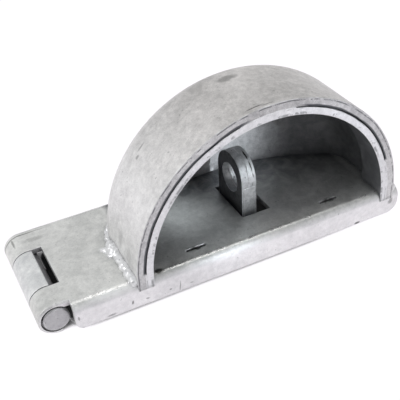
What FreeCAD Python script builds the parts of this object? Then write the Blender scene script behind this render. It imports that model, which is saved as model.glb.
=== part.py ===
import FreeCAD, Part
import math
import os
import Sketcher

# Padlock protection bar: a hinged steel hasp leaf that carries a half-dome guard. A staple on the
# frame side passes up through a slot in the leaf, and the padlock hangs in it under the guard.
# Frame: +X from the hinge towards the free end, +Y from the guard's open mouth to its closed back,
# +Z out of the door. The origin lies on the mounting plane, under the middle of the staple.

document = FreeCAD.newDocument("padlock_protection_bar")

# Driving dimensions, in millimetres and degrees.
SIZES = {
    # hinged leaf, folded from sheet
    "sheet_wall": 2.3,
    "leaf_width": 53.6,
    "leaf_reach": 61.2,
    "flange_drop": 11.1,
    "fold_radius": 4.0,
    "flange_corner_hinge": 3.4,
    "flange_corner_free": 5.0,
    # hinge
    "hinge_reach": 86.0,
    "pin_radius": 4.4,
    "pin_play": 0.05,
    "pin_head_radius": 5.1,
    "pin_head_depth": 1.8,
    "pin_head_gap": 0.3,
    "pin_head_chamfer": 0.5,
    "pin_head_proud": 0.4,
    "pin_head_play": 0.6,
    "knuckle_inset_front": 4.5,
    "knuckle_edge": 0.6,
    "knuckle_inset_back": 2.2,
    "centre_knuckle": 22.0,
    "knuckle_gap": 0.5,
    "curl_sweep": 195.0,
    "swing_gap": 0.45,
    # guard
    "guard_shift": 1.3,
    "guard_radius": 57.0,
    "guard_wall": 3.2,
    "guard_straight": 27.0,
    "dish_shoulder": 15.0,
    "ring_wall": 3.2,
    "ring_depth": 12.6,
    "seam_width": 0.45,
    "seam_depth": 3.0,
    "seam_left_from": 105.0,
    "seam_left_sweep": 72.0,
    "seam_right_from": 18.0,
    "seam_right_sweep": 63.0,
    "guard_bead": 2.8,
    # staple
    "eye_wall": 3.2,
    "eye_width": 20.0,
    "eye_rise": 37.1,
    "eye_hole_radius": 6.1,
    "eye_hole_drop": 11.4,
    "eye_bead": 2.5,
    # mounting plates
    "base_wall": 3.2,
    "base_side_gap": 2.5,
    "staple_base_length": 56.0,
    "staple_bolt_margin": 9.0,
    "hinge_plate_gap": 6.3,
    "hinge_bolt_pitch_x": 22.0,
    "hinge_bolt_margin": 10.0,
    "bolt_hole_radius": 4.5,
    "plate_corner": 4.0,
    # openings in the leaf
    "slot_play": 0.95,
    "slot_side_play": 1.9,
    "drain_length": 8.2,
    "drain_width": 1.3,
    "drain_offset": 30.0,
    "drain_setback": 7.6,
}

# Values that follow from the driving dimensions.
DERIVED = {
    "knuckle_radius": "Sizes.pin_radius + Sizes.pin_play + Sizes.sheet_wall",
    "bore_radius": "Sizes.pin_radius + Sizes.pin_play",
    "leaf_top": "2 * Derived.knuckle_radius",
    "leaf_under": "Derived.leaf_top - Sizes.sheet_wall",
    "flange_foot": "Derived.leaf_top - Sizes.flange_drop",
    "half_width": "Sizes.leaf_width / 2",
    # the nearest that a fixed edge at sheet height may come to the turning knuckles
    "swing_radius": "Derived.knuckle_radius + Sizes.swing_gap",
    "plate_start": "sqrt(Derived.swing_radius^2 - Derived.bore_radius^2) - Sizes.hinge_reach",
    "leaf_length": "Sizes.leaf_reach - Derived.plate_start",
    "knuckle_front": "Sizes.knuckle_inset_front - Derived.half_width",
    "knuckle_back": "Derived.half_width - Sizes.knuckle_inset_back",
    "knuckle_length": "Derived.knuckle_back - Derived.knuckle_front",
    # the front head sits in a recess, and the back one stands out past its knuckle
    "recess_radius": "Sizes.pin_head_radius + Sizes.pin_head_play",
    "recess_depth": "Sizes.pin_head_depth - Sizes.pin_head_proud + Sizes.pin_head_gap",
    "notch_half": "Sizes.centre_knuckle / 2 + Sizes.knuckle_gap",
    "ring_outer": "Sizes.guard_radius - Sizes.guard_wall",
    "ring_inner": "Derived.ring_outer - Sizes.ring_wall",
    # the shoulder's arc ends where it runs smoothly into the crown's
    "shoulder_line": "Sizes.guard_radius - Sizes.dish_shoulder",
    "dish_depth": "Sizes.leaf_width - Sizes.guard_straight",
    "crown_radius": "(Derived.shoulder_line^2 + Derived.dish_depth^2 - Sizes.dish_shoulder^2)"
                    " / (2 * (Derived.dish_depth - Sizes.dish_shoulder))",
    "shoulder_turn": "atan((Derived.crown_radius - Derived.dish_depth) / Derived.shoulder_line)"
                     " / 1 deg",
    "eye_half": "Sizes.eye_wall",
    # the slot's free edge clears the staple's top corner as the leaf swings up past it
    "swing_past": "Sizes.hinge_reach + Derived.eye_half + Sizes.swing_gap",
    "eye_above_axis": "Sizes.eye_rise - Derived.knuckle_radius",
    "slot_free": "sqrt(Derived.swing_past^2 + Derived.eye_above_axis^2 - Derived.bore_radius^2)"
                 " - Sizes.hinge_reach",
    "slot_hinge": "-Derived.eye_half - Sizes.slot_play",
    "slot_half": "Sizes.eye_width / 2 + Sizes.slot_side_play",
    "base_width": "Sizes.leaf_width - 2 * Sizes.sheet_wall - 2 * Sizes.base_side_gap",
    "staple_bolt_pitch_x": "Sizes.staple_base_length - 2 * Sizes.staple_bolt_margin",
    "staple_bolt_pitch_y": "Derived.base_width - 2 * Sizes.staple_bolt_margin",
    "hinge_bolt_pitch_y": "Derived.base_width - 2 * Sizes.hinge_bolt_margin",
    "hinge_plate_end": "-Sizes.staple_base_length / 2 - Sizes.hinge_plate_gap",
    "hinge_bolt_middle": "(Derived.plate_start + Derived.hinge_plate_end) / 2",
}


def fill_sheet(name, rows):
    """One spreadsheet: names in column A, values in column B under an alias of the same name."""
    sheet = document.addObject("Spreadsheet::Sheet", name)
    for row, (alias, value) in enumerate(rows, start=1):
        sheet.set(f"A{row}", alias)
        sheet.set(f"B{row}", value)
        sheet.setAlias(f"B{row}", alias)
    document.recompute()
    return sheet


sizes = fill_sheet("Sizes", [(alias, str(value)) for alias, value in SIZES.items()])
derived = fill_sheet("Derived", [(alias, "=" + rule) for alias, rule in DERIVED.items()])


def number(rule):
    """The present value of an expression."""
    return float(sizes.evalExpression(rule))


def new_body(label, x="0", y="0", z="0"):
    """An empty body whose place follows three expressions."""
    body = document.addObject("PartDesign::Body", label)
    body.Label = label
    for axis, rule in zip("xyz", (x, y, z)):
        body.setExpression(f"Placement.Base.{axis}", rule)
    return body


def new_sketch(body, name, plane, offset="0"):
    """A sketch on one of the body's origin planes, moved along the plane's normal."""
    sketch = body.newObject("Sketcher::SketchObject", name)
    support = next(item for item in body.Origin.OriginFeatures if item.Role == plane)
    sketch.AttachmentSupport = (support, [""])
    sketch.MapMode = "FlatFace"
    sketch.setExpression("AttachmentOffset.Base.z", offset)
    return sketch


def pin_point(sketch, piece, point, x, y):
    """Dimensions one point of a sketch from the sketch's origin."""
    for kind, rule in (("DistanceX", x), ("DistanceY", y)):
        index = sketch.addConstraint(Sketcher.Constraint(kind, -1, 1, piece, point, number(rule)))
        sketch.setExpression(f"Constraints[{index}]", rule)


def dimension(sketch, kind, rule, *ends):
    """Adds one driving dimension that follows an expression."""
    index = sketch.addConstraint(Sketcher.Constraint(kind, *ends, number(rule)))
    sketch.setExpression(f"Constraints[{index}]", rule)


def add_polygon(sketch, corners):
    """A closed outline of straight lines through corners given as pairs of expressions."""
    places = [FreeCAD.Vector(number(x), number(y), 0) for x, y in corners]
    first = sketch.GeometryCount
    count = len(corners)
    for index in range(count):
        sketch.addGeometry(Part.LineSegment(places[index], places[(index + 1) % count]))
    for index in range(count):
        following = first + (index + 1) % count
        sketch.addConstraint(Sketcher.Constraint("Coincident", first + index, 2, following, 1))
    for index, (x, y) in enumerate(corners):
        pin_point(sketch, first + index, 1, x, y)


def add_rectangle(sketch, left, right, low, high):
    add_polygon(sketch, [(left, low), (right, low), (right, high), (left, high)])


def add_circle(sketch, x, y, radius):
    centre = FreeCAD.Vector(number(x), number(y), 0)
    circle = Part.Circle(centre, FreeCAD.Vector(0, 0, 1), number(radius))
    piece = sketch.addGeometry(circle)
    pin_point(sketch, piece, 3, x, y)
    dimension(sketch, "Radius", radius, piece)


def extrude(body, sketch, kind, name, length, backwards=False, symmetric=False):
    """A pad or a pocket of one sketch."""
    feature = body.newObject(f"PartDesign::{kind}", name)
    feature.Profile = sketch
    feature.Reversed = backwards
    if symmetric:
        feature.SideType = "Symmetric"
    feature.setExpression("Length", length)
    document.recompute()
    return feature


def round_edges(body, name, radius, along, wanted):
    """Rounds the straight edges along one axis whose ends both satisfy a test on their position."""
    base = body.Tip
    names = []
    for index, edge in enumerate(base.Shape.Edges, start=1):
        ends = [vertex.Point for vertex in edge.Vertexes]
        if len(ends) == 2 and all(wanted(point) for point in ends):
            run = ends[1] - ends[0]
            if abs(getattr(run, along)) > 0.99 * run.Length:
                names.append(f"Edge{index}")
    fillet = body.newObject("PartDesign::Fillet", name)
    fillet.Base = (base, names)
    fillet.setExpression("Radius", radius)
    document.recompute()
    return fillet


def near(value, rule):
    return abs(value - number(rule)) < 1e-4


def bevel_curl_ends(body, name, size, faces):
    """Bevels the outer rim of a knuckle where it meets flat end faces at given Y positions."""
    base = body.Tip
    names = []
    for index, edge in enumerate(base.Shape.Edges, start=1):
        curve = edge.Curve
        if isinstance(curve, Part.Circle) and near(curve.Radius, "Derived.knuckle_radius"):
            if any(near(curve.Center.y, face) for face in faces):
                names.append(f"Edge{index}")
    bevel = body.newObject("PartDesign::Chamfer", name)
    bevel.Base = (base, names)
    bevel.setExpression("Size", size)
    document.recompute()


def add_curl(body, name, plane_offset, length, opening, symmetric):
    """A knuckle curled from the sheet: a disc, its bore, and the opening that ends the curl."""
    axis = ("-Sizes.hinge_reach", "Derived.knuckle_radius")
    backwards = not symmetric
    disc = new_sketch(body, name + "_disc", "XZ_Plane", plane_offset)
    add_circle(disc, *axis, "Derived.knuckle_radius")
    extrude(body, disc, "Pad", name + "_roll", length, backwards, symmetric)
    bore = new_sketch(body, name + "_bore_circle", "XZ_Plane", plane_offset)
    add_circle(bore, *axis, "Derived.bore_radius")
    extrude(body, bore, "Pocket", name + "_bore", length, False, symmetric)
    gap = new_sketch(body, name + "_gap_outline", "XZ_Plane", plane_offset)
    add_polygon(gap, opening)
    extrude(body, gap, "Pocket", name + "_gap", length, False, symmetric)


def curl_opening(end_angle, sheet_face):
    """The wedge between a curl's cut end, at an angle about the hinge axis, and its own sheet."""
    reach = "1.1 * Derived.knuckle_radius"
    end_x = f"-Sizes.hinge_reach + {reach} * cos({end_angle} * 1 deg)"
    end_z = f"Derived.knuckle_radius + {reach} * sin({end_angle} * 1 deg)"
    side_x = f"-Sizes.hinge_reach + {reach}"
    return [
        ("-Sizes.hinge_reach", "Derived.knuckle_radius"),
        (end_x, end_z),
        (side_x, end_z),
        (side_x, sheet_face),
        ("-Sizes.hinge_reach", sheet_face),
    ]


def make_hasp_leaf():
    """A channel of folded sheet whose top runs on into two curled knuckles."""
    body = new_body("hasp_leaf")
    section = new_sketch(body, "channel_section", "YZ_Plane", "Derived.plate_start")
    edge, inner = "Derived.half_width", "Derived.half_width - Sizes.sheet_wall"
    add_polygon(section, [
        (f"-({edge})", "Derived.flange_foot"),
        (f"-({edge})", "Derived.leaf_top"),
        (edge, "Derived.leaf_top"),
        (edge, "Derived.flange_foot"),
        (inner, "Derived.flange_foot"),
        (inner, "Derived.leaf_under"),
        (f"-({inner})", "Derived.leaf_under"),
        (f"-({inner})", "Derived.flange_foot"),
    ])
    extrude(body, section, "Pad", "channel", "Derived.leaf_length")
    round_edges(body, "fold_outside", "Sizes.fold_radius", "x",
                lambda point: near(abs(point.y), edge) and near(point.z, "Derived.leaf_top"))
    round_edges(body, "fold_inside", "Sizes.fold_radius - Sizes.sheet_wall", "x",
                lambda point: near(abs(point.y), inner) and near(point.z, "Derived.leaf_under"))
    neck = new_sketch(body, "neck_outline", "XZ_Plane", "-Derived.knuckle_front")
    add_rectangle(neck, "-Sizes.hinge_reach", "Derived.plate_start + Sizes.fold_radius",
                  "Derived.leaf_under", "Derived.leaf_top")
    extrude(body, neck, "Pad", "neck", "Derived.knuckle_length", backwards=True)
    add_curl(body, "leaf_curl", "-Derived.knuckle_front", "Derived.knuckle_length",
             curl_opening("(90 + Sizes.curl_sweep)", "Derived.leaf_under"), symmetric=False)
    recess = new_sketch(body, "recess_circle", "XZ_Plane", "-Derived.knuckle_front")
    add_circle(recess, "-Sizes.hinge_reach", "Derived.knuckle_radius", "Derived.recess_radius")
    extrude(body, recess, "Pocket", "head_recess", "Derived.recess_depth")
    notch = new_sketch(body, "notch_outline", "XY_Plane")
    add_rectangle(notch, "-Sizes.hinge_reach - 2 * Derived.knuckle_radius", "Derived.plate_start",
                  "-Derived.notch_half", "Derived.notch_half")
    extrude(body, notch, "Pocket", "notch", "2 * Derived.leaf_top", backwards=True)
    slot = new_sketch(body, "slot_outline", "XY_Plane")
    add_rectangle(slot, "Derived.slot_hinge", "Derived.slot_free",
                  "-Derived.slot_half", "Derived.slot_half")
    extrude(body, slot, "Pocket", "staple_slot", "2 * Derived.leaf_top", backwards=True)
    drains = new_sketch(body, "drain_outline", "XY_Plane")
    for side in ("-", "+"):
        middle = f"Sizes.guard_shift {side} Sizes.drain_offset"
        line = "Sizes.drain_setback - Derived.half_width"
        add_rectangle(drains, f"{middle} - Sizes.drain_length / 2",
                      f"{middle} + Sizes.drain_length / 2",
                      f"{line} - Sizes.drain_width / 2", f"{line} + Sizes.drain_width / 2")
    extrude(body, drains, "Pocket", "drains", "2 * Derived.leaf_top", backwards=True)
    bevel_curl_ends(body, "knuckle_rims", "Sizes.knuckle_edge",
                    ["Derived.knuckle_front", "Derived.knuckle_back"])
    round_edges(body, "flange_corners_hinge", "Sizes.flange_corner_hinge", "y",
                lambda point: near(point.x, "Derived.plate_start")
                and near(point.z, "Derived.flange_foot"))
    round_edges(body, "flange_corners_free", "Sizes.flange_corner_free", "y",
                lambda point: near(point.x, "Sizes.leaf_reach")
                and near(point.z, "Derived.flange_foot"))
    return body


def make_hinge_plate():
    """The fixed leaf: a bolted plate with a tongue curled round the pin from below."""
    body = new_body("hinge_plate")
    outline = new_sketch(body, "plate_outline", "XY_Plane")
    far_end = "Derived.hinge_plate_end"
    tongue, edge = "Sizes.centre_knuckle / 2", "Derived.base_width / 2"
    add_polygon(outline, [
        ("-Sizes.hinge_reach", f"-{tongue}"),
        ("Derived.plate_start", f"-{tongue}"),
        ("Derived.plate_start", f"-{edge}"),
        (far_end, f"-{edge}"),
        (far_end, edge),
        ("Derived.plate_start", edge),
        ("Derived.plate_start", tongue),
        ("-Sizes.hinge_reach", tongue),
    ])
    extrude(body, outline, "Pad", "plate", "Sizes.sheet_wall")
    add_curl(body, "plate_curl", "0", "Sizes.centre_knuckle",
             curl_opening("(270 - Sizes.curl_sweep)", "Sizes.sheet_wall"), symmetric=True)
    add_bolt_holes(body, "Derived.hinge_bolt_middle", "Sizes.hinge_bolt_pitch_x",
                   "Derived.hinge_bolt_pitch_y", "Sizes.sheet_wall")
    round_edges(body, "plate_corners", "Sizes.plate_corner", "z",
                lambda point: near(abs(point.y), edge))
    return body


def add_bolt_holes(body, middle, pitch_x, pitch_y, depth):
    holes = new_sketch(body, "bolt_circles", "XY_Plane")
    for along in ("-", "+"):
        for across in ("-", ""):
            add_circle(holes, f"{middle} {along} {pitch_x} / 2", f"{across}{pitch_y} / 2",
                       "Sizes.bolt_hole_radius")
    extrude(body, holes, "Pocket", "bolt_holes", f"2 * {depth}", backwards=True)


def make_hinge_pin():
    """A round pin with an upset head at each end."""
    body = new_body("hinge_pin", x="-Sizes.hinge_reach", z="Derived.knuckle_radius")
    profile = new_sketch(body, "pin_profile", "XY_Plane")
    front_face = "Derived.knuckle_front - Sizes.pin_head_proud"
    front_seat = f"{front_face} + Sizes.pin_head_depth"
    back_seat = "Derived.knuckle_back + Sizes.pin_head_gap"
    back_face = f"{back_seat} + Sizes.pin_head_depth"
    crown = "Sizes.pin_head_radius - Sizes.pin_head_chamfer"
    add_polygon(profile, [
        ("0", front_face),
        (crown, front_face),
        ("Sizes.pin_head_radius", f"{front_face} + Sizes.pin_head_chamfer"),
        ("Sizes.pin_head_radius", front_seat),
        ("Sizes.pin_radius", front_seat),
        ("Sizes.pin_radius", back_seat),
        ("Sizes.pin_head_radius", back_seat),
        ("Sizes.pin_head_radius", f"{back_face} - Sizes.pin_head_chamfer"),
        (crown, back_face),
        ("0", back_face),
    ])
    turn = body.newObject("PartDesign::Revolution", "pin_turned")
    turn.Profile = profile
    turn.ReferenceAxis = (profile, ["V_Axis"])
    turn.Angle = 360
    return body


def add_dish_profile(sketch):
    """Half of the guard in plan: straight wall, tight shoulder, flat crown, of one thickness."""
    radius, shoulder = number("Sizes.guard_radius"), number("Sizes.dish_shoulder")
    wall, straight = number("Sizes.guard_wall"), number("Sizes.guard_straight")
    deep, crown = number("Derived.dish_depth"), number("Derived.crown_radius")
    turn = math.radians(number("Derived.shoulder_turn"))
    up = FreeCAD.Vector(0, 0, 1)
    middle = FreeCAD.Vector(number("Derived.shoulder_line"), straight, 0)
    axis_point = FreeCAD.Vector(0, straight + deep - crown, 0)

    def line(x0, y0, x1, y1):
        ends = FreeCAD.Vector(x0, y0, 0), FreeCAD.Vector(x1, y1, 0)
        return sketch.addGeometry(Part.LineSegment(*ends))

    def arc(centre, size, start, end):
        return sketch.addGeometry(Part.ArcOfCircle(Part.Circle(centre, up, size), start, end))

    def join(kind, *ends):
        sketch.addConstraint(Sketcher.Constraint(kind, *ends))

    outside = line(radius, 0, radius, straight)
    outer_shoulder = arc(middle, shoulder, 0, turn)
    outer_crown = arc(axis_point, crown, turn, math.pi / 2)
    pole = line(0, straight + deep, 0, straight + deep - wall)
    inner_crown = arc(axis_point, crown - wall, turn, math.pi / 2)
    inner_shoulder = arc(middle, shoulder - wall, 0, turn)
    inside = line(radius - wall, straight, radius - wall, 0)
    mouth = line(radius - wall, 0, radius, 0)
    start, end, centre, vertical_axis = 1, 2, 3, -2

    join("Vertical", outside)
    join("Tangent", outside, end, outer_shoulder, start)
    join("Tangent", outer_shoulder, end, outer_crown, start)
    join("PointOnObject", outer_crown, centre, vertical_axis)
    join("PointOnObject", outer_crown, end, vertical_axis)
    join("Coincident", outer_crown, end, pole, start)
    join("PointOnObject", pole, end, vertical_axis)
    join("Coincident", inner_crown, centre, outer_crown, centre)
    join("Coincident", inner_crown, end, pole, end)
    join("Coincident", inner_shoulder, centre, outer_shoulder, centre)
    join("Tangent", inner_shoulder, end, inner_crown, start)
    join("Vertical", inside)
    join("Tangent", inner_shoulder, start, inside, start)
    join("Coincident", inside, end, mouth, start)
    join("Coincident", mouth, end, outside, start)
    join("Horizontal", mouth)
    pin_point(sketch, outside, start, "Sizes.guard_radius", "0")
    dimension(sketch, "DistanceY", "Sizes.guard_straight", -1, 1, outside, end)
    dimension(sketch, "Radius", "Sizes.dish_shoulder", outer_shoulder)
    dimension(sketch, "DistanceY", "Sizes.leaf_width", -1, 1, pole, start)
    dimension(sketch, "DistanceY", "Sizes.guard_wall", pole, end, pole, start)


def make_leaf_block():
    """The leaf's outer form as one solid block, used to scribe what stands on it."""
    body = new_body("leaf_block")
    outline = new_sketch(body, "block_section", "YZ_Plane", "Derived.plate_start")
    add_rectangle(outline, "-Derived.half_width", "Derived.half_width",
                  "Derived.flange_foot", "Derived.leaf_top")
    extrude(body, outline, "Pad", "block", "Derived.leaf_length")
    round_edges(body, "block_folds", "Sizes.fold_radius", "x",
                lambda point: near(point.z, "Derived.leaf_top")
                and near(abs(point.y), "Derived.half_width"))
    return body


def cut(label, base, tool):
    piece = document.addObject("Part::Cut", label)
    piece.Label = label
    piece.Base = base
    piece.Tool = tool
    return piece


def make_guard_shell(block):
    """Half of a dished drum, its feet run down over the leaf's rounded folds."""
    body = new_body("shell_blank", x="Sizes.guard_shift", y="-Derived.half_width",
                    z="Derived.leaf_top")
    profile = new_sketch(body, "dish_profile", "XY_Plane")
    add_dish_profile(profile)
    dome = body.newObject("PartDesign::Revolution", "dome")
    dome.Profile = profile
    dome.ReferenceAxis = (profile, ["V_Axis"])
    dome.Angle = 180
    dome.Reversed = True
    document.recompute()
    foot = extrude(body, profile, "Pad", "foot", "Sizes.fold_radius", backwards=True)
    other = body.newObject("PartDesign::Mirrored", "other_foot")
    other.Originals = [foot]
    other.MirrorPlane = (next(item for item in body.Origin.OriginFeatures
                              if item.Role == "YZ_Plane"), [""])
    body.Tip = other
    document.recompute()
    return cut("guard_shell", body, block)


def round_bar(name, radius, height, from_angle, sweep, depth):
    """A solid sector about the guard's axis, whose front end lies on the leaf's front face."""
    bar = document.addObject("Part::Cylinder", name)
    bar.setExpression("Radius", radius)
    bar.setExpression("Height", height)
    bar.setExpression("Angle", sweep)
    bar.setExpression("Placement.Base.x", "Sizes.guard_shift")
    bar.setExpression("Placement.Base.y", f"{depth} - Derived.half_width")
    bar.setExpression("Placement.Base.z", "Derived.leaf_top")
    tilt = FreeCAD.Rotation(FreeCAD.Vector(1, 0, 0), 90)
    spin = FreeCAD.Rotation(FreeCAD.Vector(0, 0, 1), number(from_angle))
    bar.Placement.Rotation = tilt.multiply(spin)
    return bar


def block_between(name, left, depth, width, drop):
    """A block under the guard's mouth, from the front face backwards and down from the leaf's top."""
    box = document.addObject("Part::Box", name)
    box.setExpression("Length", width)
    box.setExpression("Width", depth)
    box.setExpression("Height", drop)
    box.setExpression("Placement.Base.x", left)
    box.setExpression("Placement.Base.y", "-Derived.half_width")
    box.setExpression("Placement.Base.z", f"Derived.leaf_top - {drop}")
    return box


def make_guard_ring(block):
    """The reinforcing half ring inside the mouth, with the open seams left along its outer edge."""
    outer = round_bar("ring_outer_bar", "Derived.ring_outer", "Sizes.ring_depth", "0", "180",
                      "Sizes.ring_depth")
    inner = round_bar("ring_inner_bar", "Derived.ring_inner", "Sizes.ring_depth", "0", "180",
                      "Sizes.ring_depth")
    arch = cut("ring_arch", outer, inner)
    feet = [
        block_between("ring_foot_free", "Sizes.guard_shift + Derived.ring_inner",
                      "Sizes.ring_depth", "Sizes.ring_wall", "Sizes.fold_radius"),
        block_between("ring_foot_hinge", "Sizes.guard_shift - Derived.ring_outer",
                      "Sizes.ring_depth", "Sizes.ring_wall", "Sizes.fold_radius"),
    ]
    ring = document.addObject("Part::MultiFuse", "ring_blank")
    ring.Shapes = [arch] + feet
    ring.Refine = True
    for side in ("left", "right"):
        start, sweep = f"Sizes.seam_{side}_from", f"Sizes.seam_{side}_sweep"
        wide = round_bar(f"seam_{side}_wide", "Derived.ring_outer + Sizes.seam_width",
                         "2 * Sizes.seam_depth", start, sweep, "Sizes.seam_depth")
        slim = round_bar(f"seam_{side}_slim", "Derived.ring_outer - Sizes.seam_width",
                         "2 * Sizes.seam_depth", start, sweep, "Sizes.seam_depth")
        ring = cut(f"ring_{side}_seamed", ring, cut(f"seam_{side}", wide, slim))
    return cut("guard_ring", ring, block)


def make_guard_weld(label, side, shell, block):
    """The fillet weld along the outside of one of the shell's feet, round into its shoulder."""
    body = new_body(label + "_bead",
                    x=f"Sizes.guard_shift {side} Derived.shoulder_line",
                    y="Sizes.guard_straight - Derived.half_width",
                    z="Derived.leaf_top")
    section = new_sketch(body, "bead_section", "XZ_Plane")
    foot, toe = "Sizes.dish_shoulder", "Sizes.dish_shoulder + Sizes.guard_bead"
    corners = [
        (foot, "-Sizes.guard_bead"),
        (toe, "-Sizes.guard_bead"),
        (toe, "0"),
        (foot, "Sizes.guard_bead"),
    ]
    add_polygon(section, [(f"{side}({x})", y) for x, y in corners])
    extrude(body, section, "Pad", "run", "Sizes.guard_straight")
    turn = body.newObject("PartDesign::Revolution", "turn")
    turn.Profile = section
    turn.ReferenceAxis = (section, ["V_Axis"])
    turn.setExpression("Angle", "Derived.shoulder_turn")
    turn.Reversed = side == "-"
    document.recompute()
    return cut(label, cut(label + "_on_leaf", body, block), shell)


def make_staple_eye(label, left):
    """One of the staple's two upright plates, round-topped, with the hole for the shackle."""
    body = new_body(label, x=left, z="Sizes.base_wall")
    outline = new_sketch(body, "eye_outline", "YZ_Plane")
    half, spring = "Sizes.eye_width / 2", "Sizes.eye_rise - Sizes.base_wall - Sizes.eye_width / 2"
    wide, high = number(half), number(spring)
    foot = Part.LineSegment(FreeCAD.Vector(-wide, 0, 0), FreeCAD.Vector(wide, 0, 0))
    right = Part.LineSegment(FreeCAD.Vector(wide, 0, 0), FreeCAD.Vector(wide, high, 0))
    crown = Part.Circle(FreeCAD.Vector(0, high, 0), FreeCAD.Vector(0, 0, 1), wide)
    left_side = Part.LineSegment(FreeCAD.Vector(-wide, high, 0), FreeCAD.Vector(-wide, 0, 0))
    outline.addGeometry([foot, right, Part.ArcOfCircle(crown, 0, math.pi), left_side])
    for ends in ((0, 2, 1, 1), (3, 2, 0, 1)):
        outline.addConstraint(Sketcher.Constraint("Coincident", *ends))
    for ends in ((1, 2, 2, 1), (2, 2, 3, 1)):
        outline.addConstraint(Sketcher.Constraint("Tangent", *ends))
    outline.addConstraint(Sketcher.Constraint("Vertical", 1))
    pin_point(outline, 0, 1, f"-{half}", "0")
    pin_point(outline, 0, 2, half, "0")
    pin_point(outline, 2, 3, "0", spring)
    extrude(body, outline, "Pad", "eye_plate", "Sizes.eye_wall")
    hole = new_sketch(body, "hole_circle", "YZ_Plane")
    add_circle(hole, "0", "Sizes.eye_rise - Sizes.base_wall - Sizes.eye_hole_drop",
               "Sizes.eye_hole_radius")
    extrude(body, hole, "Pocket", "shackle_hole", "2 * Sizes.eye_wall", backwards=True)
    return body


def make_staple_base():
    """The plate under the staple, bolted to the frame."""
    body = new_body("staple_base")
    outline = new_sketch(body, "base_outline", "XY_Plane")
    reach, edge = "Sizes.staple_base_length / 2", "Derived.base_width / 2"
    add_rectangle(outline, f"-{reach}", reach, f"-{edge}", edge)
    extrude(body, outline, "Pad", "base", "Sizes.base_wall")
    add_bolt_holes(body, "0", "Derived.staple_bolt_pitch_x", "Derived.staple_bolt_pitch_y",
                   "Sizes.base_wall")
    round_edges(body, "base_corners", "Sizes.plate_corner", "z",
                lambda point: near(abs(point.y), edge))
    return body


def make_staple_weld():
    """The fillet weld round the staple's foot."""
    body = new_body("staple_weld", z="Sizes.base_wall")
    outline = new_sketch(body, "weld_outline", "XY_Plane")
    along, across = "Derived.eye_half + Sizes.eye_bead", "Sizes.eye_width / 2 + Sizes.eye_bead"
    add_rectangle(outline, f"-({along})", along, f"-({across})", across)
    bead = extrude(body, outline, "Pad", "bead", "Sizes.eye_bead")
    bead.TaperAngle = -45
    inner = new_sketch(body, "staple_outline", "XY_Plane")
    add_rectangle(inner, "-Derived.eye_half", "Derived.eye_half",
                  "-Sizes.eye_width / 2", "Sizes.eye_width / 2")
    extrude(body, inner, "Pocket", "staple_gap", "2 * Sizes.eye_bead", backwards=True)
    return body


leaf_block = make_leaf_block()
guard_shell = make_guard_shell(leaf_block)
NODES = [
    make_hasp_leaf(),
    make_hinge_plate(),
    make_hinge_pin(),
    guard_shell,
    make_guard_ring(leaf_block),
    make_guard_weld("guard_weld_free_side", "+", guard_shell, leaf_block),
    make_guard_weld("guard_weld_hinge_side", "-", guard_shell, leaf_block),
    make_staple_eye("staple_eye_hinge_side", "-Sizes.eye_wall"),
    make_staple_eye("staple_eye_free_side", "0"),
    make_staple_base(),
    make_staple_weld(),
]
document.recompute()

for item in document.Objects:
    if "Invalid" in item.State or "Error" in item.State:
        raise RuntimeError(f"{item.Label} failed: {item.State}")
for node in NODES:
    if node.Shape.isNull() or not node.Shape.isValid():
        raise RuntimeError(f"{node.Label} has no sound shape")

os.makedirs("parts", exist_ok=True)
for node in NODES:
    node.Shape.exportStep(os.path.join("parts", node.Label + ".step"))
    box = node.Shape.BoundBox
    print(f"{node.Label}: {len(node.Shape.Solids)} solid, {node.Shape.Volume:.1f} mm3, "
          f"x {box.XMin:.2f}..{box.XMax:.2f} y {box.YMin:.2f}..{box.YMax:.2f} "
          f"z {box.ZMin:.2f}..{box.ZMax:.2f}")
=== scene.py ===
import math
import random

import bpy
from mathutils import Matrix, Vector


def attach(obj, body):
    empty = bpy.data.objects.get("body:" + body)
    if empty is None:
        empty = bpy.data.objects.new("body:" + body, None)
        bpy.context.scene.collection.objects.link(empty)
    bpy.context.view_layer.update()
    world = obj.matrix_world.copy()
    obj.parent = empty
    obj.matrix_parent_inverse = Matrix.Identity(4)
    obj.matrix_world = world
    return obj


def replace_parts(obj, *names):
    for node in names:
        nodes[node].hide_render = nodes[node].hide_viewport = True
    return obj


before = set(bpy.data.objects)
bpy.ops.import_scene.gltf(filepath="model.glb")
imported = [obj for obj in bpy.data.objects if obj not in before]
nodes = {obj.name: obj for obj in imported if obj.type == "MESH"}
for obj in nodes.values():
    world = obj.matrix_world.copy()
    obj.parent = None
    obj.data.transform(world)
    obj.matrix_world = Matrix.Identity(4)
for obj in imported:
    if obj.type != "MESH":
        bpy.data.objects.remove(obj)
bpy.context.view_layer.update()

# The studio: a white sweep of floor under a sky that is brightest high behind the object, with
# three broad soft lamps and two narrow ones that look into the guard's mouth. Camera rays see
# plain white, and the steel is lit at an ordinary level.
scene = bpy.context.scene
scene.view_settings.view_transform = "Standard"


def put(tree, socket, value):
    """Links a value that comes from another node, or sets a plain one."""
    if isinstance(value, bpy.types.NodeSocket):
        tree.links.new(value, socket)
    else:
        socket.default_value = value


def node(tree, kind, **inputs):
    """Adds a shader node. Inputs are named with spaces written as underscores, or _0, _1, _2."""
    made = tree.nodes.new(kind)
    for key, value in inputs.items():
        place = int(key[1:]) if key[1:].isdigit() else key.replace("_", " ")
        put(tree, made.inputs[place], value)
    return made


def sums(tree, kind, first, second=0.0):
    """One sum of one or two numbers."""
    made = node(tree, "ShaderNodeMath", _0=first, _1=second)
    made.operation = kind
    return made.outputs[0]


def product(tree, first, *others):
    """Several numbers multiplied."""
    for other in others:
        first = sums(tree, "MULTIPLY", first, other)
    return first


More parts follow.
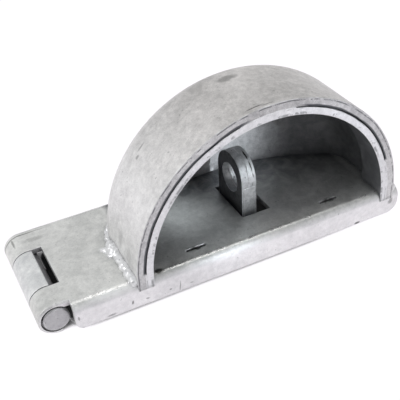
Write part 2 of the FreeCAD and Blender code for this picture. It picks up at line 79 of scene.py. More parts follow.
def arrows(tree, kind, first, second=(0.0, 0.0, 0.0)):
    """One sum of one or two vectors: a number for lengths, distances and dot products."""
    made = node(tree, "ShaderNodeVectorMath", _0=first, _1=second)
    made.operation = kind
    return made.outputs["Value" if kind in ("LENGTH", "DISTANCE", "DOT_PRODUCT") else "Vector"]


def split(tree, vector):
    """The three parts of a vector."""
    return tuple(node(tree, "ShaderNodeSeparateXYZ", Vector=vector).outputs)


def spread(tree, value, low, high, start=0.0, end=1.0):
    """Maps a value from low..high to start..end, clamped."""
    made = node(tree, "ShaderNodeMapRange", Value=value, From_Min=low, From_Max=high,
                To_Min=start, To_Max=end)
    return made.outputs["Result"]


def seen_rays(tree):
    """1 where a ray comes from the camera or through glass."""
    rays = tree.nodes.new("ShaderNodeLightPath")
    return sums(tree, "MAXIMUM", rays.outputs["Is Camera Ray"], rays.outputs["Is Transmission Ray"])


SKY_DIMMEST, SKY_BRIGHTEST = 0.05, 0.62
BRIGHT_WAY = (-0.2, 0.7, 0.65)
sky = bpy.data.worlds.new("even_sky")
sky.use_nodes = True
scene.world = sky
tree = sky.node_tree
tree.nodes.clear()
away = node(tree, "ShaderNodeTexCoord").outputs["Generated"]
lean = arrows(tree, "DOT_PRODUCT", away, BRIGHT_WAY)
level = node(tree, "ShaderNodeMapRange", Value=lean, From_Min=-0.35, From_Max=0.45,
             To_Min=SKY_DIMMEST, To_Max=SKY_BRIGHTEST)
level.interpolation_type = "SMOOTHSTEP"
even = node(tree, "ShaderNodeBackground", Color=(0.97, 0.98, 1.0, 1.0), Strength=level.outputs[0])
white = node(tree, "ShaderNodeBackground", Color=(1.0, 1.0, 1.0, 1.0), Strength=1.0)
choose = node(tree, "ShaderNodeMixShader", Fac=seen_rays(tree),
              _1=even.outputs[0], _2=white.outputs[0])
node(tree, "ShaderNodeOutputWorld", Surface=choose.outputs[0])

# The floor glows white where the camera or a shiny surface sees it. Where the object covers it
# closely, and in the oblong under the hinge, painted shadow takes the glow away from the grey floor.
FLOOR_GLOW = 0.97
HINGE_PATCH_MIDDLE, HINGE_PATCH_HALF = (-0.0800, 0.0055, 0.0), (0.008, 0.0210, 1.0)
bpy.ops.object.select_all(action="DESELECT")
bpy.ops.mesh.primitive_plane_add(size=6.0, location=(0, 0, -0.0004))
floor = bpy.context.object
floor.name = "studio_floor"
paper = bpy.data.materials.new("white_paper")
paper.use_nodes = True
tree = paper.node_tree
tree.nodes.clear()
matt = node(tree, "ShaderNodeBsdfDiffuse", Color=(0.55, 0.55, 0.55, 1.0))
glow = node(tree, "ShaderNodeEmission", Color=(0.99, 0.97, 1.0, 1.0), Strength=1.08)
covered = node(tree, "ShaderNodeAmbientOcclusion", Distance=0.035)
covered.samples = 32
lit = spread(tree, covered.outputs["AO"], 0.14, 0.24, 0.0, FLOOR_GLOW)
under_hinge = node(tree, "ShaderNodeMapping",
                   Vector=node(tree, "ShaderNodeTexCoord").outputs["Object"],
                   Location=HINGE_PATCH_MIDDLE, Scale=HINGE_PATCH_HALF)
under_hinge.vector_type = "TEXTURE"
along, across, _ = split(tree, under_hinge.outputs[0])
beside = sums(tree, "MAXIMUM", *(spread(tree, sums(tree, "ABSOLUTE", off), 0.95, 1.0)
                                 for off in (along, across)))
lit = product(tree, lit, beside)
seen = product(tree, seen_rays(tree), lit)
mirrored = product(tree, tree.nodes.new("ShaderNodeLightPath").outputs["Is Glossy Ray"],
                   spread(tree, lit, 0.0, FLOOR_GLOW, 0.45, FLOOR_GLOW))
share = sums(tree, "MAXIMUM", seen, mirrored)
blend = node(tree, "ShaderNodeMixShader", Fac=share, _1=matt.outputs[0], _2=glow.outputs[0])
node(tree, "ShaderNodeOutputMaterial", Surface=blend.outputs[0])
floor.data.materials.append(paper)


def hang(light, watts, colour, place, aim):
    """Puts a lamp in the studio, turned towards a point."""
    light.energy = watts
    light.color = colour
    holder = bpy.data.objects.new(light.name, light)
    scene.collection.objects.link(holder)
    holder.location = place
    holder.rotation_euler = (Vector(aim) - Vector(place)).to_track_quat("-Z", "Y").to_euler()


def lamp(name, place, aim, width, height, watts, colour):
    """A rectangular soft lamp."""
    light = bpy.data.lights.new(name, "AREA")
    light.shape = "RECTANGLE"
    light.size, light.size_y = width, height
    hang(light, watts, colour, place, aim)


def mouth_lamp(name, place, aim, degrees, watts):
    """A small soft lamp that looks through the guard's mouth and lights a patch inside."""
    light = bpy.data.lights.new(name, "SPOT")
    light.spot_size = math.radians(degrees)
    light.spot_blend = 1.0
    light.shadow_soft_size = 0.01
    hang(light, watts, (0.87, 0.95, 1.0), place, aim)


lamp("high_lamp", (0.30, -0.02, 0.98), (-0.01, 0, 0.02), 0.5, 0.3, 1.4, (1.0, 0.99, 0.975))
lamp("front_lamp", (0.34, -0.98, 0.47), (0, 0, 0.03), 0.8, 0.6, 3.2, (0.96, 0.98, 1.0))
lamp("left_lamp", (-0.80, 0.05, 0.80), (-0.02, 0, 0.03), 0.6, 0.6, 3.7, (0.99, 0.99, 1.0))
mouth_lamp("wall_patch_lamp", (0.14, -0.50, 0.22), (0.006, 0.028, 0.025), 5.0, 8.0)
mouth_lamp("floor_patch_lamp", (0.12, -0.42, 0.19), (-0.027, 0.004, 0.0135), 4.8, 9.5)

# The camera, matched to the photograph's straight edges and arcs. Its place is given in mm, and
# MM turns mm into metres.
MM = 0.001
EYE = (-115.8, -215.6, 194.4)
RIGHTWARDS, UPWARDS = (0.892, -0.449, -0.049), (0.303, 0.513, 0.803)
lens = bpy.data.cameras.new("camera")
lens.sensor_width = 36.0
lens.lens = 66.48
lens.clip_start = 0.01
camera = bpy.data.objects.new("camera", lens)
scene.collection.objects.link(camera)
right, up = Vector(RIGHTWARDS), Vector(UPWARDS)
back = right.cross(up).normalized()
up = back.cross(right).normalized()
turn = Matrix((right.normalized(), up, back)).transposed().to_4x4()
camera.matrix_world = Matrix.Translation(Vector(EYE) * MM) @ turn
scene.camera = camera

# The hasp leaf: hot-dip galvanised sheet, folded down along both long sides and curled round the
# pin at one end. The zinc is matte, clouded in soft patches, with fine grain and dark pin-holes.
PIT_COLOUR = (0.05, 0.05, 0.055, 1.0)
# painted shade in corners
CORNER_SHADE_COLOUR = (0.07, 0.075, 0.085, 1.0)
# edges, partly worn and partly painted highlight
EDGE_WEAR_AND_HIGHLIGHT_COLOUR = (0.90, 0.905, 0.915, 1.0)
# smears, some of them painted highlights
SMEAR_AND_HIGHLIGHT_COLOUR = (0.97, 0.975, 0.98, 1.0)
# stains, some of them painted shade in slots and hollows
STAIN_AND_SHADE_COLOUR = (0.05, 0.048, 0.045, 1.0)


def noise(tree, place, scale, detail=4.0, rough=0.55, twist=0.0):
    """A soft random value round 0.5."""
    made = node(tree, "ShaderNodeTexNoise", Vector=place, Scale=scale, Detail=detail,
                Roughness=rough, Distortion=twist)
    return made.outputs["Fac"]


def mix(tree, share, first, second):
    """Blends two colours."""
    made = tree.nodes.new("ShaderNodeMix")
    made.data_type = "RGBA"
    for place, value in ((0, share), (6, first), (7, second)):
        put(tree, made.inputs[place], value)
    return made.outputs[2]


def around(tree, where, middle, radii, angle=0.0, outer=1.15, inner=0.6, strength=1.0):
    """Falls off softly from the middle of an egg-shaped place, given in mm, to nothing outside."""
    local = node(tree, "ShaderNodeMapping", Vector=where, Location=[value * MM for value in middle],
                 Rotation=(0.0, math.radians(angle), 0.0), Scale=[value * MM for value in radii])
    local.vector_type = "TEXTURE"
    apart = arrows(tree, "LENGTH", local.outputs[0])
    return spread(tree, apart, outer, inner, 0.0, strength)


def blots(tree, where, marks):
    """How far a place lies in any of the marks. Each has a middle and radii in mm, a turn about
    the Y axis in degrees and a strength; the edges are ragged."""
    ragged = node(tree, "ShaderNodeTexNoise", Vector=where, Scale=520.0, Detail=4.0)
    shift = arrows(tree, "SUBTRACT", ragged.outputs["Color"], (0.5, 0.5, 0.5))
    total = 0.0
    for middle, radii, angle, strength in marks:
        wander = min(radii) * 1.3 * MM
        moved = node(tree, "ShaderNodeVectorMath", _0=shift, _1=(wander, wander, wander), _2=where)
        moved.operation = "MULTIPLY_ADD"
        mark = around(tree, moved.outputs[0], middle, radii, angle, strength=strength)
        total = sums(tree, "MAXIMUM", total, mark)
    return total


def zinc(name, pale, dark, seed, cloud=26.0, pits=0.4, rough=0.5, metal=0.75, grain=0.14,
         wear_and_highlight=0.55, shade=None, polish=None, sides=(), stains_and_shade=(), smears_and_highlights=(),
         shade_and_mark_colour=(0.10, 0.105, 0.115), corner_shade_depth=0.55):
    """Galvanised steel: clouds, crystals, fine grain, pits, painted shade in corners, and bright
    edges that are partly wear and partly painted highlight. Shade returns the painted shade (on the
    guard with real dark scores) and how chalky the zinc is at a place, and polish how smooth. Sides
    give faces that look one way a lighter or darker painted copy of the zinc, as painted light and
    shade.
    Stains are dark, some of them painted shade; smears are bright, some of them painted highlights."""
    finish = bpy.data.materials.new(name)
    finish.use_nodes = True
    tree = finish.node_tree
    tree.nodes.clear()
    where = node(tree, "ShaderNodeTexCoord").outputs["Object"]
    place = node(tree, "ShaderNodeMapping", Vector=where, Location=seed).outputs[0]
    clouds = noise(tree, place, cloud, 5.0, 0.6, 0.4)
    blotch = noise(tree, place, cloud * 5.5, 6.0, 0.7, 0.8)
    mottle = noise(tree, place, 480.0, 3.0, 0.6)
    speckle = noise(tree, place, 2100.0, 2.0, 0.5)
    crystals = node(tree, "ShaderNodeTexVoronoi", Vector=place, Scale=420.0).outputs["Color"]
    crystals = node(tree, "ShaderNodeSeparateColor", Color=crystals).outputs[0]

    # the zinc's tone, and a painted lighter or darker copy on faces that look one way
    tone = spread(tree, clouds, 0.36, 0.64, 0.0, 0.5)
    for more in (spread(tree, blotch, 0.35, 0.68, 0.0, 0.42),
                 spread(tree, crystals, 0.0, 1.0, -0.06, 0.06),
                 spread(tree, mottle, 0.3, 0.7, -0.24, 0.24),
                 spread(tree, speckle, 0.3, 0.7, -grain, grain)):
        tone = sums(tree, "ADD", tone, more)
    colour = mix(tree, tone, (*dark, 1.0), (*pale, 1.0))
    outward = tree.nodes.new("ShaderNodeNewGeometry").outputs["Normal"]
    for way, low, high, painted_side_pale, painted_side_dark in sides:
        painted_side_colour = mix(tree, tone, (*painted_side_dark, 1.0), (*painted_side_pale, 1.0))
        looks = arrows(tree, "DOT_PRODUCT", outward, way)
        colour = mix(tree, spread(tree, looks, low, high), colour, painted_side_colour)

    # pin-holes, painted shade in corners, and edges brightened partly by wear, partly as painted
    # highlight
    dots = product(tree, spread(tree, noise(tree, place, 900.0, 1.0, 0.4), 0.69, 0.74),
                   spread(tree, noise(tree, place, 120.0, 2.0, 0.5), 0.5, 0.62, 0.0, pits))
    colour = mix(tree, dots, colour, PIT_COLOUR)
    corner = node(tree, "ShaderNodeAmbientOcclusion", Distance=0.005)
    corner.samples = 8
    corner_shade = product(tree, spread(tree, corner.outputs["AO"], 0.35, 0.85, corner_shade_depth, 0.0),
                    spread(tree, split(tree, where)[2], 0.001, 0.005))
    colour = mix(tree, corner_shade, colour, CORNER_SHADE_COLOUR)
    # edges brightened partly as wear, partly as painted highlight
    soft = node(tree, "ShaderNodeBevel", Radius=0.0007)
    soft.samples = 8
    facing = arrows(tree, "DOT_PRODUCT", soft.outputs[0], outward)
    edge_wear_and_highlight = product(tree, spread(tree, facing, 0.995, 0.90, 0.0, wear_and_highlight),
                     spread(tree, blotch, 0.40, 0.55))
    colour = mix(tree, edge_wear_and_highlight, colour, EDGE_WEAR_AND_HIGHLIGHT_COLOUR)

    # marks at set places: smears, some painted highlights, and stains, some painted shade
    if smears_and_highlights:
        colour = mix(tree, blots(tree, where, smears_and_highlights), colour, SMEAR_AND_HIGHLIGHT_COLOUR)
    if stains_and_shade:
        colour = mix(tree, blots(tree, where, stains_and_shade), colour, STAIN_AND_SHADE_COLOUR)
    # painted shade from the piece's shade function; on the guard it also holds the rim's real scores
    if shade:
        painted_shade_and_marks, chalk = shade(tree, where, blotch)
        colour = mix(tree, painted_shade_and_marks, colour, (*shade_and_mark_colour, 1.0))
        if chalk is not None:
            metal = product(tree, metal, sums(tree, "SUBTRACT", 1.0, chalk))

    # relief and roughness
    height = spread(tree, blotch, 0.2, 0.8, 0.0, 1.0)
    height = sums(tree, "ADD", height, spread(tree, mottle, 0.2, 0.8, 0.0, 0.5))
    height = sums(tree, "ADD", height, spread(tree, speckle, 0.2, 0.8, 0.0, 0.25))
    height = sums(tree, "SUBTRACT", height, dots)
    relief = node(tree, "ShaderNodeBump", Strength=0.55, Distance=0.00016, Height=height,
                  Normal=soft.outputs[0])
    sheen = spread(tree, blotch, 0.3, 0.7, rough - 0.07, rough + 0.1)
    if polish:
        sheen = sums(tree, "SUBTRACT", sheen, product(tree, polish(tree, where), rough * 0.5))
    steel = node(tree, "ShaderNodeBsdfPrincipled", Base_Color=colour, Roughness=sheen,
                 Metallic=metal, Normal=relief.outputs[0])
    node(tree, "ShaderNodeOutputMaterial", Surface=steel.outputs[0])
    return finish


def finish_node(name, finish):
    """Gives a piece of the frame its finish."""
    piece = nodes[name]
    piece.data.materials.clear()
    piece.data.materials.append(finish)


MOUTH_MIDDLE = (0.0013, -0.0268, 0.0135)


def under_dome(tree, where, blotch):
    """Painted shade darkens the leaf under the guard: darkest far back. A patch to the left is kept
    bright as a painted pool of light; it and the lower half of the front fold are chalky."""
    aside, inwards, above = split(tree, arrows(tree, "SUBTRACT", where, MOUTH_MIDDLE))
    sides = spread(tree, sums(tree, "ABSOLUTE", aside), 0.0525, 0.0495)
    front = spread(tree, inwards, 0.0030, 0.0110, 0.0, 0.30)
    depth = sums(tree, "ADD", front, spread(tree, inwards, 0.0110, 0.044, 0.0, 0.62))
    painted_light_patch = around(tree, where, (-27.0, 3.0, 13.5), (17.0, 15.0, 9.0), outer=1.25, inner=0.2,
                   strength=0.85)
    painted_shade_and_marks = product(tree, sides, depth, spread(tree, above, -0.0030, -0.0005),
                   sums(tree, "SUBTRACT", 1.0, painted_light_patch), spread(tree, blotch, 0.3, 0.7, 1.15, 0.75))
    outward = tree.nodes.new("ShaderNodeNewGeometry").outputs["Normal"]
    fold = arrows(tree, "DOT_PRODUCT", outward, (0.0, -0.8, 0.6))
    return painted_shade_and_marks, sums(tree, "MAXIMUM", painted_light_patch, spread(tree, fold, 0.90, 0.98, 0.0, 0.8))


def bend_polish(tree, where):
    """The upper part of both long bends was drawn smooth by the folding tool."""
    _, across, height = split(tree, where)
    out = sums(tree, "ABSOLUTE", across)
    broken = spread(tree, noise(tree, where, 110.0, 3.0, 0.5), 0.38, 0.56, 0.6, 1.0)
    return product(tree, spread(tree, out, 0.0225, 0.0238), spread(tree, out, 0.0260, 0.0244),
                   broken, spread(tree, height, 0.0115, 0.0120))


LEAF_STAINS_AND_SLOT_SHADE = (
    # on the front flange
    ((-58.5, -26.8, 5.6), (0.4, 2.0, 1.0), 12.0, 0.7),
    ((-52.6, -26.8, 5.0), (0.8, 2.0, 0.3), 20.0, 0.6),
    ((-43.3, -26.8, 5.2), (0.5, 2.0, 0.35), 0.0, 0.6),
    ((-34.6, -26.8, 4.7), (0.8, 2.0, 0.25), 10.0, 0.5),
    ((-54.0, -26.8, 2.2), (3.0, 2.0, 0.25), 2.0, 0.7),
    ((-41.8, -26.8, 1.8), (3.8, 2.0, 0.25), -1.0, 0.7),
    ((-67.0, -26.8, 3.4), (1.8, 2.0, 0.5), 0.0, 0.5),
    ((41.2, -26.8, 2.9), (1.5, 2.0, 0.6), 0.0, 0.75),
    ((-39.4, -26.8, 5.0), (0.25, 2.0, 2.6), 8.0, 0.5),
    ((-58.4, -26.8, 13.0), (0.7, 1.2, 0.9), 0.0, 0.9),
    ((-79.0, -26.8, 7.5), (0.4, 2.0, 1.1), 0.0, 0.5),
    ((-78.2, -26.8, 2.5), (0.8, 2.0, 0.4), 0.0, 0.5),
    ((57.5, -26.8, 8.0), (1.2, 2.0, 1.6), 20.0, 0.55),
    # round the far knuckle
    ((-86.0, 22.4, 6.75), (12.0, 0.45, 12.0), 0.0, 0.6),
    ((-89.4, 19.5, 12.6), (0.5, 3.0, 0.6), 0.0, 0.5),
    # on the top
    ((-81.5, 17.5, 13.5), (3.6, 1.6, 1.5), 0.0, 0.22),
    ((-17.0, 15.0, 13.5), (3.5, 2.4, 1.0), 0.0, 0.45),
    ((-46.3, -24.2, 13.4), (2.2, 1.3, 1.0), 0.0, 0.95),
    # painted shade: near black in the two drain slots and the staple's slot
    ((-28.7, -19.2, 12.4), (4.8, 1.5, 1.8), 0.0, 1.0),
    ((31.3, -19.2, 12.4), (4.8, 1.5, 1.8), 0.0, 1.0),
    ((2.1, 0.0, 11.3), (9.4, 16.0, 2.1), 0.0, 1.0))
LEAF_SMEARS_AND_HIGHLIGHTS = (
    # a zinc splash beside the weld; painted highlights along the front bend and round the far
    # knuckle
    ((-60.0, -2.6, 13.5), (1.8, 1.5, 1.0), 0.0, 0.7),
    ((-58.9, -6.0, 13.5), (1.6, 3.5, 1.0), 0.0, 0.5),
    ((-57.6, -25.6, 13.4), (2.6, 1.6, 1.2), 0.0, 0.8),
    ((-66.0, -25.6, 12.6), (9.0, 1.3, 1.2), 0.0, 0.55),
    ((-86.0, 24.4, 6.75), (9.0, 0.6, 9.0), 0.0, 0.8))
# painted shade on the front fold, against its highlight; painted lilac light on the front flange
BEND_PAINTED_SHADE = ((0.0, -0.71, 0.71), 0.93, 0.99, (0.80, 0.80, 0.78), (0.50, 0.505, 0.495))
FLANGE_PAINTED_LIGHT = ((0.0, -1.0, 0.0), 0.6, 0.95, (1.0, 0.985, 1.0), (0.74, 0.73, 0.745))
finish_node("hasp_leaf",
            zinc("leaf_zinc", pale=(0.89, 0.89, 0.865), dark=(0.61, 0.615, 0.595),
                 seed=(0.1, 0.3, 0.0), shade=under_dome, polish=bend_polish,
                 sides=(BEND_PAINTED_SHADE, FLANGE_PAINTED_LIGHT), stains_and_shade=LEAF_STAINS_AND_SLOT_SHADE, smears_and_highlights=LEAF_SMEARS_AND_HIGHLIGHTS))

# The fixed half of the hinge: galvanised plate curled round the pin. Only its knuckle shows
# between the leaf's two; painted shade darkens its hidden upper side.
STAPLE_OPENING = ((6.0, 6.0, 6.75), (20.0, 26.0, 14.0))
HINGE_OPENING = ((-76.0, 3.0, 6.75), (18.0, 30.0, 16.0))


def hidden_top(tree, where, blotch):
    """Painted shade under the closed leaf, deepest below its openings."""
    along, _, height = split(tree, where)
    openings = sums(tree, "MAXIMUM", around(tree, where, *STAPLE_OPENING),
                    around(tree, where, *HINGE_OPENING))
    painted_shade_and_marks = product(tree, spread(tree, height, 0.0003, 0.0008),
                   spread(tree, along, -0.0855, -0.0840),
                   spread(tree, height, 0.0134, 0.0122),
                   spread(tree, openings, 0.0, 1.0, 0.35, 1.0),
                   spread(tree, blotch, 0.3, 0.7, 1.0, 0.9))
    return painted_shade_and_marks, None


finish_node("hinge_plate",
            zinc("plate_zinc", pale=(0.96, 0.965, 0.95), dark=(0.68, 0.69, 0.69),
                 seed=(0.7, 0.1, 0.2), shade=hidden_top, shade_and_mark_colour=(0.02, 0.02, 0.02)))

# The hinge pin: round steel bar, its ends hammered into low heads and dipped with the rest.
# Its faces are greyer than the sheet, and the far head's edge carries a painted highlight.
PIN_HEAD_HIGHLIGHT = (((-86.0, 27.0, 6.75), (9.0, 4.0, 9.0), 0.0, 0.8),)
finish_node("hinge_pin",
            zinc("pin_zinc", pale=(0.57, 0.565, 0.58), dark=(0.38, 0.375, 0.39),
                 seed=(0.2, 0.8, 0.1), pits=0.3, wear_and_highlight=0.9, smears_and_highlights=PIN_HEAD_HIGHLIGHT))

# The guard: half of a dished drum, 3.2 mm thick, standing on the leaf with its mouth to the front.
# Its skin is a little warmer and more even than the leaf's.
GUARD_MIDDLE = (0.0013, 0.0, 0.0135)
SEAM_RADIUS = 0.0538
SCORES = ((0.0563, 0.00035, 0.8, -0.03), (0.0531, 0.0003, 0.4, 0.04), (0.0512, 0.0007, 0.6, 0.05))


def rim_scores(tree, where, blotch):
    """Broken dark scores round the rim, where the grinder and the shears have marked it, and the
    dirt in the open seam. A score has a radius, half its width, a strength and how broken it is."""
    middle = arrows(tree, "SUBTRACT", where, GUARD_MIDDLE)
    reach = arrows(tree, "LENGTH", arrows(tree, "MULTIPLY", middle, (1.0, 0.0, 1.0)))
    wavy = noise(tree, where, 55.0, 3.0, 0.6)
    reach = sums(tree, "ADD", reach, spread(tree, wavy, 0.3, 0.7, -0.0004, 0.0004))
    aside, inwards, above = split(tree, middle)
    scores = 0.0
    for radius, half, strength, gap in SCORES:
        off = sums(tree, "ABSOLUTE", sums(tree, "SUBTRACT", reach, radius))
        score = product(tree, spread(tree, off, half, half * 0.3, 0.0, strength),
                        spread(tree, blotch, 0.46 + gap, 0.53 + gap))
        scores = sums(tree, "MAXIMUM", scores, score)
    scores = product(tree, scores, spread(tree, inwards, -0.0262, -0.0266))
    # the seam is welded shut over the top and at the two feet
    off = sums(tree, "ABSOLUTE", sums(tree, "SUBTRACT", reach, SEAM_RADIUS))
    foot = sums(tree, "SUBTRACT", above, product(tree, aside, 0.131))
    seam = product(tree, spread(tree, off, 0.0007, 0.0004),
                   spread(tree, sums(tree, "ABSOLUTE", aside), 0.0085, 0.0135),
                   spread(tree, foot, 0.0096, 0.0106), spread(tree, inwards, -0.0230, -0.0236))
    return sums(tree, "MAXIMUM", scores, seam)


def inside_wall(tree, where, blotch):
    """Painted shade darkens the inside of the drum: its wall is the one that faces the drum's
    middle.
    Behind the staple a chalky patch is kept bright as a painted pool of light."""
    ahead = arrows(tree, "NORMALIZE", arrows(tree, "SUBTRACT", where, (0.0013, -0.008, 0.0135)))
    outward = tree.nodes.new("ShaderNodeNewGeometry").outputs["Normal"]
    facing = arrows(tree, "DOT_PRODUCT", ahead, outward)
    painted_light_patch = spread(tree, arrows(tree, "DISTANCE", where, (0.008, 0.026, 0.026)),
                   0.030, 0.010, 0.0, 0.95)
    # painted shade on the inside wall, kept off the painted pool of light
    inner = product(tree, spread(tree, facing, -0.1, -0.25, 0.0, 0.78),
                    sums(tree, "SUBTRACT", 1.0, painted_light_patch), spread(tree, blotch, 0.3, 0.7, 1.1, 0.9))
    return sums(tree, "MAXIMUM", inner, rim_scores(tree, where, blotch)), painted_light_patch


SHELL_STAINS = (
    # a smudge on the crown, scratches on the left, lines behind the rim, and the left foot
    ((-4.0, -1.2, 70.2), (4.2, 1.9, 3.0), 0.0, 0.42),
    ((-39.8, -1.8, 53.0), (2.0, 0.5, 2.4), 0.0, 0.35),
    ((-42.2, -3.5, 50.2), (0.8, 0.8, 1.2), 0.0, 0.4),
    ((-6.0, -24.6, 70.0), (3.6, 0.35, 1.5), 0.0, 0.7),
    ((-1.0, -25.3, 70.4), (2.5, 0.3, 1.2), 0.0, 0.5),
    ((-55.0, -11.0, 23.5), (3.0, 2.2, 4.5), 0.0, 0.14),
    ((-55.4, -19.0, 19.5), (3.0, 2.5, 4.5), 0.0, 0.2))
# painted shade: faces looking to the front, and upward faces, drawn darker; the upward ones warmer
RIM_PAINTED_SHADE = ((0.0, -1.0, 0.0), 0.6, 0.95, (0.80, 0.79, 0.80), (0.42, 0.415, 0.425))
TOP_PAINTED_SHADE = ((0.0, 0.0, 1.0), 0.5, 0.95, (0.84, 0.815, 0.795), (0.53, 0.515, 0.50))
finish_node("guard_shell",
            zinc("shell_zinc", pale=(0.99, 0.985, 0.975), dark=(0.71, 0.705, 0.70),
                 seed=(0.4, 0.2, 0.9), cloud=32.0, grain=0.18, shade=inside_wall,
                 sides=(RIM_PAINTED_SHADE, TOP_PAINTED_SHADE), stains_and_shade=SHELL_STAINS))

# The ring: flat steel cut to a half ring and welded inside the mouth, flush with the shell's rim,
# with a dark open seam at its outer edge.
finish_node("guard_ring",
            zinc("ring_zinc", pale=(0.96, 0.955, 0.975), dark=(0.68, 0.68, 0.70),
                 seed=(0.9, 0.6, 0.3), shade=inside_wall))

# Weld beads along the guard's feet: laid by hand in short overlapping puddles, then galvanised,
# so they are lumpy and brighter than the sheet. Each runs along a side and round its corner.
weld_finish = zinc("weld_zinc", pale=(1.0, 1.0, 1.0), dark=(0.80, 0.805, 0.81),
                   seed=(0.3, 0.5, 0.5), cloud=60.0, rough=0.32, metal=0.45, corner_shade_depth=0.15)
BEAD_RADIUS = 2.55
BEAD_HEIGHT = 13.3
SIDE_START, SIDE_END = -24.3, 0.2
CORNER_RADIUS = 15.0
CORNER_START, CORNER_TURN = 2.0, 56.0
# where the bead is cut off: inside the leaf, at the front and at the free end
BEAD_CUTS = (((0, 0, 11.7), (0, 0, 1), False), ((0, -26.7, 0), (0, 1, 0), False),
             ((61.1, 0, 0), (1, 0, 0), True))


def puddle(x, y, radius, squeeze):
    """One puddle of weld metal: a flattened ball on the leaf against the guard."""
    bpy.ops.mesh.primitive_ico_sphere_add(subdivisions=3, radius=radius * MM,
                                          location=(x * MM, y * MM, BEAD_HEIGHT * MM))
    ball = bpy.context.object
    ball.scale = (1.0, squeeze, 1.0)
    return ball


def apply_all(piece):
    """Applies a piece's modifiers in their order."""
    for change in [modifier.name for modifier in piece.modifiers]:
        bpy.ops.object.modifier_apply(modifier=change)


def weld_bead(name, wall_x, corner_x, swells, splashes, seed):
    """Joins a row of puddles into one bead, melts them together and cuts it off inside the leaf.
    Swells are places along the side, in mm, where the welder paused and the bead is wider, and
    splashes are the middle and radius of drops thrown beside it."""
    dice = random.Random(seed)
    outward = math.copysign(1.0, wall_x)
    balls = []
    bpy.ops.object.select_all(action="DESELECT")
    y = SIDE_START
    while y < SIDE_END:
        wide = BEAD_RADIUS * dice.uniform(0.72, 0.92)
        for middle, reach, gain in swells:
            wide += gain * math.exp(-((y - middle) / reach) ** 2)
        x = wall_x + outward * dice.uniform(-0.2, 0.25)
        balls.append(puddle(x, y, wide, dice.uniform(0.7, 1.0)))
        y += dice.uniform(0.8, 1.3)
    angle = CORNER_START
    while angle < CORNER_TURN:
        way = math.radians(angle)
        spot_x = corner_x + outward * CORNER_RADIUS * math.cos(way)
        spot_y = SIDE_END + CORNER_RADIUS * math.sin(way)
        balls.append(puddle(spot_x, spot_y, BEAD_RADIUS * dice.uniform(0.5, 0.7), 1.0))
        angle += dice.uniform(5.0, 8.0)
    balls += [puddle(x, y, radius, 1.2) for x, y, radius in splashes]
    for ball in balls:
        ball.select_set(True)
    bpy.context.view_layer.objects.active = balls[0]
    bpy.ops.object.transform_apply(location=True, rotation=True, scale=True)
    bpy.ops.object.join()
    bead = bpy.context.object
    bead.name = name
    melt = bead.modifiers.new("melt", "REMESH")
    melt.mode = "VOXEL"
    melt.voxel_size = 0.35 * MM
    calm = bead.modifiers.new("calm", "SMOOTH")
    calm.factor = 0.6
    calm.iterations = 5
    lumps = bpy.data.textures.new(name + "_lumps", "CLOUDS")
    lumps.noise_scale = 1.3 * MM
    rough_skin = bead.modifiers.new("rough_skin", "DISPLACE")
    rough_skin.texture = lumps
    rough_skin.strength = 0.9 * MM
    rough_skin.mid_level = 0.5
    apply_all(bead)
    bpy.ops.object.mode_set(mode="EDIT")
    for point, way, outer in BEAD_CUTS:
        bpy.ops.mesh.select_all(action="SELECT")
        bpy.ops.mesh.bisect(plane_co=[value * MM for value in point], plane_no=way, use_fill=True,
                            clear_inner=not outer, clear_outer=outer)
    bpy.ops.object.mode_set(mode="OBJECT")
    bpy.ops.object.shade_smooth_by_angle(angle=math.radians(50))
    bead.data.materials.clear()
    bead.data.materials.append(weld_finish)
    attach(bead, "swing_side")
    return bead


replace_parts(weld_bead("hinge_side_bead", -56.2, -40.9, ((-5.5, 3.4, 1.0), (-25.5, 1.6, 0.6)),
                      ((-59.0, -3.6, 1.5), (-60.4, -2.8, 1.0), (-58.8, -7.5, 1.3)), 11),
            "guard_weld_hinge_side")
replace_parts(weld_bead("free_side_bead", 58.4, 43.3, ((-20.0, 2.5, 0.1), (-8.0, 3.0, 0.1)), (), 23),
            "guard_weld_free_side")

# The staple: two round-topped plates standing side by side, darker and rougher than the leaf,
# with bright edges, partly worn and partly painted highlight, painted shade on the faces that
# look towards the hinge, and a chalky punched hole for the shackle.
HOLE_MIDDLE = (0.0, 0.0, 0.0257)
STAPLE_PALE, STAPLE_DARK, STAPLE_SEED = (0.66, 0.67, 0.68), (0.32, 0.33, 0.34), (0.5, 0.1, 0.7)
STAPLE_STAINS_AND_FOOT_SHADE = (
    # cracks and a pit in the hole's wall
    ((0.7, 4.8, 25.2), (0.3, 1.4, 3.2), -9.0, 0.9),
    ((1.2, 3.8, 21.7), (0.5, 1.0, 0.6), 0.0, 1.0),
    ((-0.6, 5.2, 25.0), (0.28, 1.2, 2.2), -9.0, 0.8),
    # the open joint over the top
    ((1.9, -3.4, 36.3), (0.42, 3.2, 1.4), 0.0, 1.0),
    ((2.0, -7.6, 33.4), (0.38, 2.0, 2.6), 0.0, 0.95),
    ((2.1, -9.4, 30.3), (0.3, 1.0, 1.2), 0.0, 0.8),
    # pits in the front edge, and painted shade on its foot down in the slot
    ((-1.4, -9.8, 30.4), (0.3, 0.8, 0.5), 0.0, 0.6),
    ((1.6, -10.0, 26.6), (0.3, 1.0, 0.9), 15.0, 0.5),
    ((0.0, -10.0, 6.0), (4.5, 1.6, 1.8), 0.0, 0.55))
HOLE_SMEARS = (((-0.6, 4.6, 23.6), (2.2, 1.6, 2.4), 0.0, 0.7),)
# painted shade: the plates' faces that look towards the hinge are drawn dark
STAPLE_PAINTED_SHADE_SIDE = ((-1.0, 0.0, 0.0), 0.6, 0.95, (0.27, 0.275, 0.28), (0.10, 0.10, 0.105))


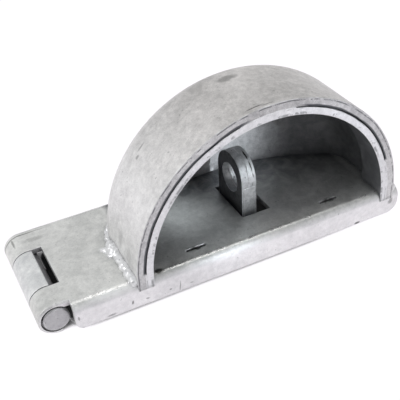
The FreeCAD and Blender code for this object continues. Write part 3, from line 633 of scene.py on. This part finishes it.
def hole_wall(tree, where, blotch):
    """The punched wall of the padlock hole is chalky, and painted shade darkens it downwards."""
    middle = arrows(tree, "SUBTRACT", where, HOLE_MIDDLE)
    reach = arrows(tree, "LENGTH", arrows(tree, "MULTIPLY", middle, (0.0, 1.0, 1.0)))
    wall = spread(tree, reach, 0.0062, 0.0059)
    painted_shade_and_marks = product(tree, wall, spread(tree, split(tree, middle)[2], 0.0005, -0.0055, 0.0, 0.6))
    return painted_shade_and_marks, product(tree, wall, 0.9)


for side in ("hinge", "free"):
    finish_node(f"staple_eye_{side}_side",
                zinc(f"staple_{side}_zinc", pale=STAPLE_PALE, dark=STAPLE_DARK,
                     seed=STAPLE_SEED, pits=0.9, rough=0.56, wear_and_highlight=0.8, sides=(STAPLE_PAINTED_SHADE_SIDE,),
                     shade=hole_wall, stains_and_shade=STAPLE_STAINS_AND_FOOT_SHADE, smears_and_highlights=HOLE_SMEARS))

# The joint fills: zinc that ran into the joint between the staple's two plates when they were
# dipped. Each is a thin uneven strip on the plates' edges, in front and behind.
fill_finish = zinc("fill_zinc", pale=STAPLE_PALE, dark=STAPLE_DARK, seed=STAPLE_SEED,
                   pits=0.9, rough=0.56, stains_and_shade=STAPLE_STAINS_AND_FOOT_SHADE)
FILL_WIDTH, FILL_DEPTH = 5.2, 0.55
FILL_LOW, FILL_HIGH = 5.0, 25.5


def joint_fill(name, y):
    """A long thin box, rounded off and wrinkled."""
    bpy.ops.object.select_all(action="DESELECT")
    bpy.ops.mesh.primitive_cube_add(size=1.0,
                                    location=(0, y * MM, (FILL_LOW + FILL_HIGH) / 2 * MM))
    strip = bpy.context.object
    strip.name = name
    strip.scale = (FILL_WIDTH * MM, FILL_DEPTH * MM, (FILL_HIGH - FILL_LOW) * MM)
    bpy.ops.object.transform_apply(location=True, rotation=True, scale=True)
    bpy.ops.object.mode_set(mode="EDIT")
    bpy.ops.mesh.select_all(action="SELECT")
    bpy.ops.mesh.subdivide(number_cuts=5)
    bpy.ops.mesh.subdivide(number_cuts=3)
    bpy.ops.object.mode_set(mode="OBJECT")
    round_off = strip.modifiers.new("round_off", "SMOOTH")
    round_off.factor = 0.5
    round_off.iterations = 6
    wrinkles = bpy.data.textures.new(name + "_wrinkles", "CLOUDS")
    wrinkles.noise_scale = 1.2 * MM
    uneven = strip.modifiers.new("uneven", "DISPLACE")
    uneven.texture = wrinkles
    uneven.strength = 0.12 * MM
    apply_all(strip)
    bpy.ops.object.shade_smooth_by_angle(angle=math.radians(50))
    strip.data.materials.append(fill_finish)
    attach(strip, "fixed_side")


joint_fill("front_joint_fill", -9.85)
joint_fill("back_joint_fill", 9.85)

# The weld round the staple's foot: a plain fillet, deep in the slot. It is drawn near black as
# painted shade.
finish_node("staple_weld",
            zinc("foot_zinc_painted_shade", pale=(0.24, 0.24, 0.25), dark=(0.12, 0.12, 0.13),
                 seed=(0.1, 0.4, 0.5)))

# The plate under the staple: flat galvanised steel with four bolt holes, hidden while the bar is
# shut. Its zinc is drawn darker than the hinge's plate, and painted shade darkens it under the leaf.
finish_node("staple_base",
            zinc("base_zinc", pale=(0.74, 0.75, 0.75), dark=(0.46, 0.47, 0.48),
                 seed=(0.6, 0.9, 0.4), shade=hidden_top, shade_and_mark_colour=(0.015, 0.015, 0.015)))
